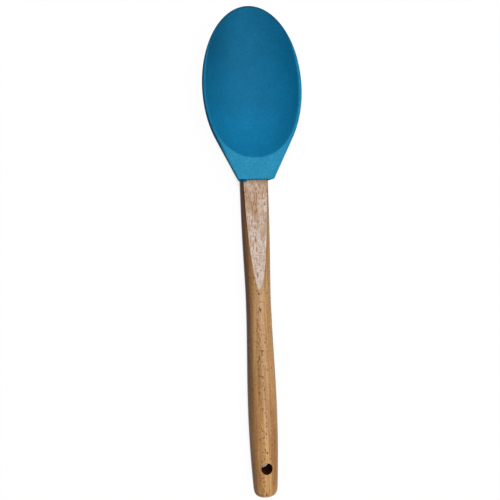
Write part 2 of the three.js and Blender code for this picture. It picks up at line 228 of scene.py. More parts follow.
class StageSettings(bpy.types.PropertyGroup):
    key_power: FloatProperty(name="Key power", description="Large soft lamp above", default=13.3, min=0,
                             unit="POWER")
    strip_power: FloatProperty(name="Strip power", description="Narrow lamp that gives the wood its sheen",
                               default=3.0, min=0, unit="POWER")
    room_light: FloatProperty(name="Room light", description="Even light from all around",
                              default=0.05, min=0)
    floor_white: colour("Floor", "Pale floor", (0.3, 0.3, 0.3))
    contact_reach: length("Contact reach", "How far the spoon darkens the floor under it", 10)
    shadow_share: FloatProperty(name="Shadow share", description="How much of the floor's shadow shows",
                                default=0.08, min=0, max=1, subtype="FACTOR")


class Term:
    """A socket of a node tree that takes plain arithmetic."""

    def __init__(self, maker, socket):
        self.maker = maker
        self.socket = socket

    def __add__(self, other):
        return self.maker.calc("ADD", self, other)

    def __radd__(self, other):
        return self.maker.calc("ADD", other, self)

    def __sub__(self, other):
        return self.maker.calc("SUBTRACT", self, other)

    def __rsub__(self, other):
        return self.maker.calc("SUBTRACT", other, self)

    def __mul__(self, other):
        return self.maker.calc("MULTIPLY", self, other)

    def __rmul__(self, other):
        return self.maker.calc("MULTIPLY", other, self)

    def __truediv__(self, other):
        return self.maker.calc("DIVIDE", self, other)

    def __pow__(self, other):
        return self.maker.calc("POWER", self, other)


class NodeMaker:
    """Adds nodes to one tree, and links or sets their inputs."""

    def __init__(self, tree):
        self.tree = tree

    def put(self, socket, value):
        if isinstance(value, Term):
            value = value.socket
        if isinstance(value, bpy.types.NodeSocket):
            self.tree.links.new(value, socket)
        else:
            socket.default_value = value

    def add(self, kind, inputs=None, **settings):
        node = self.tree.nodes.new(kind)
        for name, value in settings.items():
            setattr(node, name, value)
        for key, value in (inputs or {}).items():
            self.put(node.inputs[key], value)
        return node

    def calc(self, operation, *values):
        node = self.add("ShaderNodeMath", operation=operation)
        for socket, value in zip(node.inputs, values):
            self.put(socket, value)
        return Term(self, node.outputs[0])

    def ease(self, value, low, high):
        """0 below low, 1 above high, and smooth between."""
        inputs = {"Value": value, "From Min": low, "From Max": high}
        return Term(self, self.add("ShaderNodeMapRange", inputs, interpolation_type="SMOOTHSTEP").outputs[0])

    def split(self, vector):
        node = self.add("ShaderNodeSeparateXYZ", {"Vector": vector})
        return [Term(self, socket) for socket in node.outputs]

    def join(self, x, y, z):
        return self.add("ShaderNodeCombineXYZ", {"X": x, "Y": y, "Z": z}).outputs[0]

    def attribute(self, name):
        """A value that the mesh carries."""
        return Term(self, self.add("ShaderNodeAttribute", attribute_name=name).outputs["Fac"])

    def noise(self, vector, scale, detail=2.0, roughness=0.5, distortion=0.0):
        """Cloudy pattern with so many features a metre."""
        inputs = {"Vector": vector, "Scale": scale, "Detail": detail, "Roughness": roughness,
                  "Distortion": distortion}
        return Term(self, self.add("ShaderNodeTexNoise", inputs).outputs[0])

    def stretch(self, vector, scale, place=(0, 0, 0)):
        inputs = {"Vector": vector, "Location": place, "Scale": scale}
        return self.add("ShaderNodeMapping", inputs).outputs[0]

    def mix(self, share, first, second, blend="MIX"):
        node = self.add("ShaderNodeMix", data_type="RGBA", blend_type=blend)
        for index, value in zip((0, 6, 7), (share, first, second)):
            self.put(node.inputs[index], (*value, 1) if isinstance(value, Color) else value)
        return node.outputs[2]

    def grey(self, value):
        return self.join(value, value, value)


def new_material(name):
    """An empty material with its shader, its node maker and the Object coordinates."""
    material = bpy.data.materials.new(name)
    material.use_nodes = True
    maker = NodeMaker(material.node_tree)
    shader = material.node_tree.nodes["Principled BSDF"]
    coordinates = maker.add("ShaderNodeTexCoord").outputs["Object"]
    return material, maker, shader, coordinates


def bump(maker, shader, height, strength, distance):
    inputs = {"Height": height, "Strength": strength, "Distance": distance}
    maker.put(shader.inputs["Normal"], maker.add("ShaderNodeBump", inputs).outputs[0])


def silicone_material(settings):
    """Matt silicone with a fine mottle, paler on the land with pale specks there, painted light and shade
    from the mesh, and a painted highlight near the tip.
    """
    material, maker, shader, place = new_material("matt_silicone")
    paleness_and_painted_light = maker.attribute("paleness_and_painted_light")
    shade = maker.attribute("shade")
    x, y, _ = maker.split(place)
    # Where the painted highlight near the tip falls
    off_middle = maker.ease(maker.calc("ABSOLUTE", x), TIP_HIGHLIGHT_INNER, TIP_HIGHLIGHT_OUTER)
    tip_highlight = maker.ease(y, TIP_Y - TIP_HIGHLIGHT_END, TIP_Y - TIP_HIGHLIGHT_FULL) * (1.0 - off_middle)

    grain = maker.noise(place, 1000, 3, 0.7)
    cloud = maker.noise(place, 120, 2)
    speck = maker.ease(maker.noise(place, 1500, 1), 0.66, 0.74)
    # Paler on the land; on the right rim and the neck's underside this is painted light
    base = maker.mix(paleness_and_painted_light, settings.bowl_blue, settings.pale_land_and_lit_blue)
    # The shade attribute darkens the colour: painted shade in the bowl and on the left rim
    level = (0.52 + 0.72 * grain + 0.24 * cloud - 0.3 * speck) * (1.0 - 0.6 * shade)
    blue = maker.mix(1.0, base, maker.grey(level), "MULTIPLY")

    # Pale specks, stronger on the land, and a painted highlight near the tip
    spark = maker.ease(maker.noise(maker.stretch(place, (1, 1, 1), (3, 1, 2)), 1300, 2), 0.64, 0.76)
    dot = maker.ease(maker.noise(maker.stretch(place, (1, 1, 1), (7, 5, 1)), 950, 0), 0.75, 0.81)
    specks_and_highlight = (0.03 + 0.11 * paleness_and_painted_light + 0.03 * tip_highlight) * spark + (0.2 * paleness_and_painted_light + 0.06 * tip_highlight) * dot
    maker.put(shader.inputs["Base Color"], maker.mix(specks_and_highlight, blue, settings.speck_and_highlight_white))
    maker.put(shader.inputs["Roughness"], 0.58 + 0.16 * grain)
    shader.inputs["Specular IOR Level"].default_value = 0.08
    bump(maker, shader, grain + 0.6 * maker.noise(place, 2600, 1), 0.25, 0.06 * MM)
    return material


def round_grain(maker, place, settings):
    """Wood of the round stick, in streaks and bands along it, and the streaks alone."""
    streak = maker.noise(maker.stretch(place, (1, 0.02, 1)), 1000, 4, 0.62, 0.4)
    band = maker.noise(maker.stretch(place, (1, 0.04, 1), (0.83, 0.4, 0.5)), 230, 3, 0.5, 0.6)
    tone = maker.ease(0.55 * streak + 0.45 * band, 0.32, 0.68)
    dark_to_mid = maker.mix(maker.ease(tone, 0.0, 0.55), settings.wood_dark, settings.wood_mid)
    return maker.mix(maker.ease(tone, 0.5, 1.0), dark_to_mid, settings.wood_light), streak


def open_grain(maker, place, settings, round_wood, near_mouth):
    """Wood that the bevel cuts open, worn pale in patches that are partly painted sheen, marked along and
    across, and its open fibres alone.
    """
    fibre = maker.noise(maker.stretch(place, (1, 0.17, 1), (2, 5, 1)), 1250, 0)
    hair = maker.noise(maker.stretch(place, (1, 0.4, 1), (8, 3, 1)), 1400, 0)
    cross = maker.noise(maker.stretch(place, (0.4, 1, 1), (0, 4, 2)), 1000, 2, 0.6)
    patch = maker.noise(maker.stretch(place, (1, 0.4, 1), (3, 7, 0)), 260, 2)
    lean = 0.045 * near_mouth ** 2.0 + 0.12 * (patch - 0.5)
    long_flecks = maker.ease(fibre + lean, 0.65, 0.71)
    short_flecks = maker.ease(hair + lean, 0.63, 0.69)
    flecks = maker.calc("MAXIMUM", long_flecks, 0.75 * short_flecks)
    ticks = maker.ease(cross, 0.60, 0.66) * (1.0 - 0.7 * near_mouth)
    # Pale worn patches, more towards the bevel's tip: partly painted sheen
    rubbed_and_sheen = maker.ease(patch - 0.16 * near_mouth, 0.25, 0.62)
    wood = maker.mix(0.15, settings.bevel_wood, round_wood)
    wood = maker.mix(0.7 * rubbed_and_sheen, wood, settings.scuff_and_sheen_white)
    marks = maker.calc("MAXIMUM", 0.85 * flecks, 0.6 * ticks)
    return maker.mix(marks, wood, settings.fleck_orange), flecks


def flank_painted_shade(maker, settings, cut, side, y, near_mouth, towards_butt):
    """Painted shade along the left side and beside the bevel, and darker wood at the right of the end."""
    left = maker.ease(side, 0.45, 0.92) + 0.4 * maker.ease(side, 0.85, 1.0)
    right = 0.5 * maker.ease(0.0 - side, 0.3, 0.68)
    bevel_end = MOUTH_Y - settings.bevel_length
    # Painted shade in the crease left of the bevel near the mouth, and right of it near the bevel's end
    left_of_cut = maker.ease(cut, -1.4 * MM, -0.2 * MM) * near_mouth
    right_of_cut = maker.ease(cut, -1.0 * MM, -0.15 * MM) * maker.ease(0.0 - side, 0.1, 0.3)
    right_of_cut = right_of_cut * maker.ease(y, bevel_end - 3 * MM, bevel_end + 9 * MM)
    painted_shade = settings.flank_shade * (1.0 - 0.52 * towards_butt + 0.8 * left_of_cut) * left
    return painted_shade + right * towards_butt ** 3.0 + 0.3 * right_of_cut


def wood_material(settings):
    """Oiled wood with its grain along the stick, opened and worn pale on the bevels with painted sheen, and
    painted shade at the sides.
    """
    material, maker, shader, place = new_material("oiled_wood")
    cut = maker.attribute("cut")
    side = maker.attribute("side")
    x, y, _ = maker.split(place)
    bevel = maker.ease(cut, 0.0, BEVEL_FADE)
    near_mouth = maker.ease(y, MOUTH_Y - MOUTH_WEAR_AND_SHADE, MOUTH_Y)
    towards_butt = 1.0 - maker.ease(y, BUTT_Y, 0.0)
    at_end = 1.0 - maker.ease(y, BUTT_Y, BUTT_Y + PALE_END)

    round_wood, streak = round_grain(maker, place, settings)
    flat_wood, flecks = open_grain(maker, place, settings, round_wood, near_mouth)
    # Pale band along the bevel's edges away from the mouth: sanded paler, with a painted highlight
    sanded = maker.ease(cut, 0.02 * MM, BEVEL_FADE) * (1.0 - maker.ease(cut, 0.2 * MM, 0.5 * MM))
    sanded = sanded * (1.0 - near_mouth) * (0.4 + 0.6 * maker.ease(side, 0.0, 0.1))
    flat_wood = maker.mix(0.55 * sanded, flat_wood, settings.scuff_and_sheen_white)
    wood = maker.mix(bevel, round_wood, flat_wood)

    off_line = maker.ease(maker.calc("ABSOLUTE", x - PORE_LINE_X), PORE_LINE_INNER, PORE_LINE_OUTER)
    dash = maker.noise(maker.stretch(place, (1, 0.5, 1)), 1000, 1, 0.4)
    pores = maker.ease(dash + 0.09 * (1.0 - off_line), 0.68, 0.73)
    wood = maker.mix(0.85 * pores * (1.0 - 0.7 * bevel), wood, settings.pore_brown)
    dust = maker.ease(maker.noise(maker.stretch(place, (1, 0.6, 1), (1, 6, 3)), 1100, 1), 0.45, 0.75)
    wood = maker.mix((0.45 - 0.25 * towards_butt) * dust, wood, settings.dust_tan)
    # Painted shade along the sides and beside the bevel, multiplied in with its tint
    painted_shade = flank_painted_shade(maker, settings, cut, side, y, near_mouth, towards_butt)
    wood = maker.mix(painted_shade * (1.0 - bevel), wood, settings.painted_shade_tint, "MULTIPLY")

    grit = maker.noise(maker.stretch(place, (1, 0.5, 1), (5, 2, 0)), 1500, 2, 0.6)
    level = (0.775 + 0.4 * grit) * (1.0 + 0.23 * towards_butt + 0.13 * at_end)
    maker.put(shader.inputs["Base Color"], maker.mix(1.0, wood, maker.grey(level), "MULTIPLY"))
    maker.put(shader.inputs["Roughness"], 0.24 + 0.16 * streak + 0.25 * bevel + 0.4 * pores)
    shader.inputs["Specular IOR Level"].default_value = 0.24
    bump(maker, shader, streak - 0.5 * pores - 0.4 * flecks * bevel, 0.3, 0.08 * MM)
    return material


def dark_hole_material(settings):
    """Dull dark wood inside the drilled hole, darker in places."""
    material, maker, shader, place = new_material("dark_hole_wood")
    hole_mottle = maker.noise(maker.stretch(place, (1, 1, 0.4)), 900, 3, 0.6)
    dark_hole = maker.mix(maker.ease(hole_mottle, 0.4, 0.7), settings.hole_mottle_black, settings.dark_hole_brown)
    maker.put(shader.inputs["Base Color"], dark_hole)
    maker.put(shader.inputs["Roughness"], 0.8 + 0.2 * hole_mottle)
    shader.inputs["Specular IOR Level"].default_value = 0.05
    bump(maker, shader, hole_mottle, 0.4, 0.1 * MM)
    return material


def nylon_material(settings):
    """Dark moulded nylon of the hidden core."""
    material, maker, shader, place = new_material("moulded_nylon")
    grain = maker.noise(place, 1500, 2)
    maker.put(shader.inputs["Base Color"], maker.mix(grain, settings.nylon_dark, settings.nylon_pale))
    maker.put(shader.inputs["Roughness"], 0.42 + 0.2 * grain)
    bump(maker, shader, grain, 0.2, 0.05 * MM)
    return material


def squared(value, power):
    """One coordinate of a squared-off ellipse."""
    return np.sign(value) * np.abs(value) ** (2 / power)


def arch(share, power):
    """Height of a squared-off arch over its half-width, both as shares of the whole."""
    return np.maximum(0, 1 - np.abs(share) ** power) ** (1 / power)


def eased(value, low, high):
    """0 below low, 1 above high, and smooth between."""
    share = np.clip((value - low) / (high - low), 0, 1)
    return share * share * (3 - 2 * share)


class HeadShape:
    """Rules of the head's outline, underside and bowl."""

    def __init__(self, settings):
        self.settings = settings
        self.oval_half_length = (TIP_Y - MOUTH_Y - settings.oval_from_mouth) / 2
        self.oval_y = TIP_Y - self.oval_half_length
        across = settings.mouth_half_width / HEAD_HALF_WIDTH
        along = (MOUTH_Y - self.oval_y) / self.oval_half_length
        self.tangent_angle = math.atan2(along, across) + math.acos(1 / math.hypot(across, along))
        self.tangent_y = self.oval_y + self.oval_half_length * math.sin(self.tangent_angle)
        angles = np.linspace(-math.pi, math.pi, BOWL_EDGE_STEPS + 1)
        edge = self.bowl_edge(angles)
        self.edge_angles = np.arctan2(edge[:, 1], edge[:, 0])
        self.edge_angles[0] = -math.pi
        self.edge_angles[-1] = math.pi
        self.edge_reaches = np.hypot(edge[:, 0], edge[:, 1])

    def half_width(self, y):
        """Plan: an oval with two straight sides that run to the mouth."""
        along = (np.maximum(y, self.tangent_y) - self.oval_y) / self.oval_half_length
        oval = HEAD_HALF_WIDTH * arch(along, 2)
        share = np.clip((y - MOUTH_Y) / (self.tangent_y - MOUTH_Y), 0, 1)
        touch = HEAD_HALF_WIDTH * math.cos(self.tangent_angle)
        straight = self.settings.mouth_half_width + share * (touch - self.settings.mouth_half_width)
        return np.where(y >= self.tangent_y, oval, straight)

    def bottom(self, y):
        """Height of the underside on the centre line."""
        along = (np.maximum(y, self.oval_y) - self.oval_y) / self.oval_half_length
        tip = RIM_Z * (1 - arch(along, UNDERSIDE_TIP_POWER))
        neck = self.settings.neck_underside * (1 - eased(y, MOUTH_Y, self.oval_y))
        return np.where(y >= self.oval_y, tip, neck)

    def rim_width(self, angle):
        """The rim thins towards the tip."""
        thinning = eased(np.arcsin(np.sin(angle)), RIM_TAPER_START, RIM_TAPER_END)
        return self.settings.rim_width + thinning * (self.settings.tip_lip_width - self.settings.rim_width)

    def bowl_edge(self, angle):
        """Edge of the bowl round its middle, blunter at the neck."""
        across = np.cos(angle)
        along = np.sin(angle)
        neck_reach = self.oval_y - MOUTH_Y - self.settings.neck_land_length
        side_reach = HEAD_HALF_WIDTH - self.settings.rim_width
        neck = np.stack([side_reach * squared(across, BOWL_NECK_END_POWER),
                         neck_reach * squared(along, BOWL_NECK_END_POWER)], axis=-1)
        outward = np.stack([across / HEAD_HALF_WIDTH, along / self.oval_half_length], axis=-1)
        outward /= np.linalg.norm(outward, axis=-1, keepdims=True)
        outline = np.stack([HEAD_HALF_WIDTH * across, self.oval_half_length * along], axis=-1)
        tip = outline - outward * self.rim_width(angle)[..., None]
        return np.where((along < 0)[..., None], neck, tip)

    def edge_reach(self, angle):
        """Distance from the bowl's middle to its edge in a direction."""
        return np.interp(angle, self.edge_angles, self.edge_reaches)

    def top(self, x, y):
        """Height of the bowl, its softened edge and the land around it."""
        reach = self.edge_reach(np.arctan2(y - self.oval_y, x))
        share = np.hypot(x, y - self.oval_y) / reach
        below = self.settings.bowl_depth * (1 - share ** BOWL_PROFILE_POWER)
        soft = self.settings.edge_softness
        return RIM_Z - (below + np.sqrt(below ** 2 + soft ** 2)) / 2

    def side(self):
        """Right side of the outline from the mouth to the tip, and how far each place is drawn in."""
        turn = np.linspace(0, math.pi / 2, CORNER_STEPS + 1)
        round_y = MOUTH_Y + self.settings.mouth_round * (1 - np.cos(turn))
        straight_y = np.linspace(round_y[-1], self.tangent_y, NECK_SIDE_STEPS + 1)[1:]
        angles = np.linspace(self.tangent_angle, math.pi / 2, OVAL_STEPS + 1)[1:]
        oval_y = self.oval_y + self.oval_half_length * np.sin(angles)
        y = np.concatenate([round_y, straight_y, oval_y])
        inset = np.zeros_like(y)
        inset[:CORNER_STEPS + 1] = self.settings.mouth_round * (1 - np.sin(turn))
        x = self.half_width(y) - inset
        x[-1] = 0
        return x, y, inset


def is_mouth_rim(edge):
    """True for a sharp edge at the mouth, where the inner walls meet the outside."""
    at_mouth = all(vert.co.y < MOUTH_Y + MOUTH_RIM_DEPTH for vert in edge.verts)
    return at_mouth and edge.calc_face_angle() > MOUTH_RIM_ANGLE


def cavity_of(node):
    """Copy of the walls inside a CAD node, open at its mouth."""
    shell = bmesh.new()
    shell.from_mesh(node.data)
    bmesh.ops.remove_doubles(shell, verts=shell.verts, dist=WELD)
    outer = set(max(shell.verts, key=lambda vert: vert.co.y).link_faces)
    front = list(outer)
    while front:
        crossed = [edge for edge in front.pop().edges if not is_mouth_rim(edge)]
        reached = {face for edge in crossed for face in edge.link_faces} - outer
        outer |= reached
        front += reached
    bmesh.ops.delete(shell, geom=list(outer), context="FACES")
    return shell


def head_outline(x, y):
    """Closed outline of the head: up its right side, down its left side and back along the mouth."""
    mouth_x = np.linspace(-x[0], x[0], MOUTH_STEPS + 1)[1:-1]
    return np.concatenate([
        np.stack([x, y], axis=1),
        np.stack([-x, y], axis=1)[-2::-1],
        np.stack([mouth_x, np.full(len(mouth_x), MOUTH_Y)], axis=1),
    ])


def rim_rounding(shape, outline):
    """Radius of the rim's outer edge, smaller where the rim is thin and at the mouth's corners."""
    settings = shape.settings
    angle = np.arctan2(outline[:, 1] - shape.oval_y, outline[:, 0])
    rounding = np.minimum(settings.rim_round, 0.6 * shape.rim_width(angle))
    at_corner = 0.8 * settings.mouth_round
    past_corner = eased(outline[:, 1] - MOUTH_Y, settings.mouth_round, 10 * settings.mouth_round)
    return at_corner + (rounding - at_corner) * past_corner


def top_rings(shape, outline):
    """Plans and heights of rings from the bowl's middle to the outline, and how far the bowl reaches."""
    along = np.roll(outline, -1, axis=0) - np.roll(outline, 1, axis=0)
    along /= np.linalg.norm(along, axis=1, keepdims=True)
    inward = np.stack([-along[:, 1], along[:, 0]], axis=1)
    rounding = rim_rounding(shape, outline)
    rim = outline + inward * rounding[:, None]
    centre = np.array([0, shape.oval_y])
    heading = rim - centre
    heading /= np.linalg.norm(heading, axis=1, keepdims=True)
    reach = shape.edge_reach(np.arctan2(heading[:, 1], heading[:, 0]))
    edge = centre + heading * reach[:, None]

    inner_share = 1 - 3 * shape.settings.edge_softness / reach
    shares = [inner_share * ring / BOWL_RINGS for ring in range(1, BOWL_RINGS + 1)]
    shares += [inner_share + (1 - inner_share) * ring / EDGE_RINGS for ring in range(1, EDGE_RINGS + 1)]
    plans = [centre + (edge - centre) * share[:, None] for share in shares]
    for ring in range(1, LAND_RINGS + 1):
        plans.append(edge + (rim - edge) * (ring / LAND_RINGS) ** LAND_RING_POWER)
    heights = [shape.top(plan[:, 0], plan[:, 1]) for plan in plans]
    rim_height = heights[-1]
    for ring in range(1, ROUND_RINGS + 1):
        turn = 0.5 * math.pi * ring / ROUND_RINGS
        plans.append(outline + inward * (rounding * (1 - math.sin(turn)))[:, None])
        heights.append(rim_height - rounding * (1 - math.cos(turn)))
    return plans, heights, reach


def land_paleness_and_painted_light(settings, y):
    """Paleness along the head: full on the land, and none past the neck. On the neck's underside it is
    painted light.
    """
    return 1 - eased(y - MOUTH_Y, 0.9 * settings.neck_land_length, 2.6 * settings.neck_land_length)


def bowl_shade(x, up):
    """Painted shade inside the bowl, by how far a place is right of its middle and up towards its tip."""
    off_right = 1 - eased(x, 6 * MM, 26 * MM)
    shade = off_right * (0.26 * eased(up, -24 * MM, -5 * MM) + 0.14 * eased(up, 0, 30 * MM))
    shade += 0.25 * eased(-x, 0, 27 * MM) + 0.1 * eased(up, 15 * MM, 35 * MM) * (1 - off_right)
    return shade + 0.22 * eased(up, -5 * MM, 25 * MM) * eased(np.abs(x), 5 * MM, 25 * MM)


def ring_finish(shape, outline, plan, reach):
    """Paleness and painted shade of one ring: pale on the land, painted light on the right rim, painted shade
    on the left rim and in the bowl.
    """
    settings = shape.settings
    on_right = eased(outline[:, 0], 0.2 * HEAD_HALF_WIDTH, 0.8 * HEAD_HALF_WIDTH)
    on_right *= 1 - eased(outline[:, 1], shape.oval_y + 10 * MM, TIP_Y)
    past_land = eased(outline[:, 1] - MOUTH_Y, 0.4 * settings.neck_land_length, 2 * settings.neck_land_length)
    up = plan[:, 1] - shape.oval_y
    outside = np.hypot(plan[:, 0], up) - reach
    from_outline = np.linalg.norm(plan - outline, axis=1)
    at_outline = 1 - eased(from_outline, 0.2 * settings.rim_width, 0.7 * settings.rim_width)
    # Pale on the land, and painted light on the right rim
    paleness_and_painted_light = np.maximum(land_paleness_and_painted_light(settings, outline[:, 1]), 0.42 * on_right)
    paleness_and_painted_light *= eased(outside, -0.2 * settings.rim_width, 0.3 * settings.rim_width)
    # Painted shade on the left rim near the outline, and in the bowl
    shade = (1 - on_right) * past_land * (0.2 + 0.8 * at_outline)
    shade *= eased(outside, -0.5 * settings.rim_width, 0)
    shade += (outside < 0) * bowl_shade(plan[:, 0], up)
    return paleness_and_painted_light, np.minimum(shade, DARKEST_SHADE)


def add_strips(work, rows):
    """Faces between each row of vertices and the next."""
    for near, far in zip(rows, rows[1:]):
        for step in range(len(near) - 1):
            work.faces.new((near[step], far[step], far[step + 1], near[step + 1]))


def add_top(skin, shape, outline):
    """Bowl, rim and land, as rings round the bowl's middle. Returns the ring on the outline."""
    paleness_and_painted_light_layer = skin.verts.layers.float.new("paleness_and_painted_light")
    shade_layer = skin.verts.layers.float.new("shade")
    plans, heights, reach = top_rings(shape, outline)
    deepest = shape.top(np.array([0.0]), np.array([shape.oval_y]))[0]
    pole = skin.verts.new((0, shape.oval_y, float(deepest)))
    rings = []
    for plan, height in zip(plans, heights):
        ring = [skin.verts.new((*spot, up)) for spot, up in zip(plan.tolist(), height.tolist())]
        # Each vertex carries its paleness, with painted light on the right rim, and its painted shade
        for vert, paleness_and_painted_light, shade in zip(ring, *ring_finish(shape, outline, plan, reach)):
            vert[paleness_and_painted_light_layer] = paleness_and_painted_light
            vert[shade_layer] = shade
        rings.append(ring)
    columns = len(outline)
    for index in range(columns):
        following = (index + 1) % columns
        skin.faces.new((pole, rings[0][index], rings[0][following]))
        for inner, outer in zip(rings, rings[1:]):
            skin.faces.new((inner[index], outer[index], outer[following], inner[following]))
    return rings[-1]


def add_underside(skin, shape, border):
    """Outside of the head, as sections across it that hang from the border."""
    settings = shape.settings
    x, y, inset = shape.side()
    sides = len(x)
    bowl_share = eased(y, MOUTH_Y, shape.oval_y)
    power = UNDERSIDE_NECK_POWER + (UNDERSIDE_BOWL_POWER - UNDERSIDE_NECK_POWER) * bowl_share
    lean = math.tan(settings.neck_draft) * (1 - bowl_share)
    bottom = shape.bottom(y) + inset
    # Pale near the mouth: painted light on the neck's shaded sides and underside
    paleness_and_painted_light = land_paleness_and_painted_light(settings, y)
    paleness_and_painted_light_layer = skin.verts.layers.float["paleness_and_painted_light"]
    turns = np.linspace(0, math.pi, UNDERSIDE_STEPS + 1)[1:-1]
    sections = []
    for index in range(sides - 1):
        right = border[index]
        left = border[2 * (sides - 1) - index]
        depth = max(right.co.z - bottom[index], 0)
        drop = depth * squared(np.sin(turns), power[index])
        across = (x[index] - lean[index] * drop) * squared(np.cos(turns), power[index])
        spots = zip(across.tolist(), (right.co.z - drop).tolist())
        under = [skin.verts.new((beside, y[index], height)) for beside, height in spots]
        for vert in under:
            vert[paleness_and_painted_light_layer] = paleness_and_painted_light[index]
        sections.append([right, *under, left])
    add_strips(skin, sections)
    tip = border[sides - 1]
    for step in range(UNDERSIDE_STEPS):
        skin.faces.new((sections[-1][step], tip, sections[-1][step + 1]))


def add_core_walls(skin):
    """Walls round the core, from the CAD's head, joined to the skin at the mouth."""
    cavity = cavity_of(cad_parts["silicone_head"])
    walls = bpy.data.meshes.new("core_walls")
    cavity.to_mesh(walls)
    cavity.free()
    skin.from_mesh(walls)
    bpy.data.meshes.remove(walls)
    open_edges = [edge for edge in skin.edges if edge.is_boundary]
    bmesh.ops.triangle_fill(skin, use_beauty=True, edges=open_edges, normal=(0, -1, 0))


def head_mesh(settings):
    """Outside, rim, land and bowl as one fine skin, joined at the mouth to the walls round the core."""
    shape = HeadShape(settings)
    x, y, _ = shape.side()
    skin = bmesh.new()
    border = add_top(skin, shape, head_outline(x, y))
    add_underside(skin, shape, border)
    bmesh.ops.remove_doubles(skin, verts=skin.verts, dist=WELD)
    add_core_walls(skin)
    bmesh.ops.recalc_face_normals(skin, faces=skin.faces)
    return finished_mesh(skin, "silicone_head_skin")


def finished_mesh(work, name):
    """Mesh of a finished bmesh, smooth but for its real edges."""
    mesh = bpy.data.meshes.new(name)
    work.to_mesh(mesh)
    work.free()
    smooth_but_edges(mesh)
    return mesh


def smooth_but_edges(mesh):
    mesh.shade_smooth()
    mesh.set_sharp_from_angle(angle=SMOOTH_ANGLE)


def add_piece(name, mesh, *materials):
    """A new object at the origin, with the materials that its mesh doesn't have yet."""
    for material in materials:
        mesh.materials.append(material)
    piece = bpy.data.objects.new(name, mesh)
    bpy.context.scene.collection.objects.link(piece)
    return piece


def flash_mesh(head, handle):
    """Thin lip of silicone that ran out of the mould on the wood, left of the middle of the mouth."""
    work = bmesh.new()
    across = np.linspace(-head.flash_end, -head.flash_start, FLASH_COLUMNS + 1)
    oval = arch(2 * across / handle.neck_width, 2) * handle.neck_depth / 2
    wood = AXIS_Z + np.minimum(oval, handle.neck_flat / 2) + FLASH_LIFT
    share = np.linspace(0, 1, FLASH_COLUMNS + 1)
    bulge = arch(2 * share - 1, FLASH_POWER) * (0.72 + 0.28 * eased(share, 0.2, 0.75))
    reach = bulge * head.flash_reach
    over, under = [], []
    for row in range(FLASH_ROWS + 1):
        out = row / FLASH_ROWS
        back = MOUTH_Y + FLASH_ROOT - out * (FLASH_ROOT + reach)
        thick = head.flash_thickness * bulge * arch(out, 2)
        low = [work.verts.new(spot) for spot in zip(across.tolist(), back.tolist(), wood.tolist())]
        high = [work.verts.new(spot) for spot in zip(across.tolist(), back.tolist(), (wood + thick).tolist())]
        over.append(high)
        under.append(low)
    for rows in (over, under, [over[0], under[0]]):
        add_strips(work, rows)
    bmesh.ops.remove_doubles(work, verts=work.verts, dist=WELD)
    bmesh.ops.recalc_face_normals(work, faces=work.faces)
    return finished_mesh(work, "mould_flash")


def stick_size(maker, distance, size, kind, grip):
    """Width or depth of the stick at a distance from the mouth."""
    neck = size["neck_" + kind]
    waist = size["waist_" + kind]
    butt = size["butt_" + kind]
    grip_from_mouth = size["handle_length"] - size["grip_from_butt"]
    start = maker.calc("MAXIMUM", distance, 0.0) / size["waist_from_mouth"]
    to_waist = maker.ease(start ** NECK_TAPER_POWER, 0.0, 1.0)
    to_grip = maker.ease(distance, size["waist_from_mouth"], grip_from_mouth)
    to_butt = maker.calc("MAXIMUM", distance - grip_from_mouth, 0.0) / size["grip_from_butt"]
    return neck + (waist - neck) * to_waist + (grip - waist) * to_grip + (butt - grip) * to_butt ** 2.0


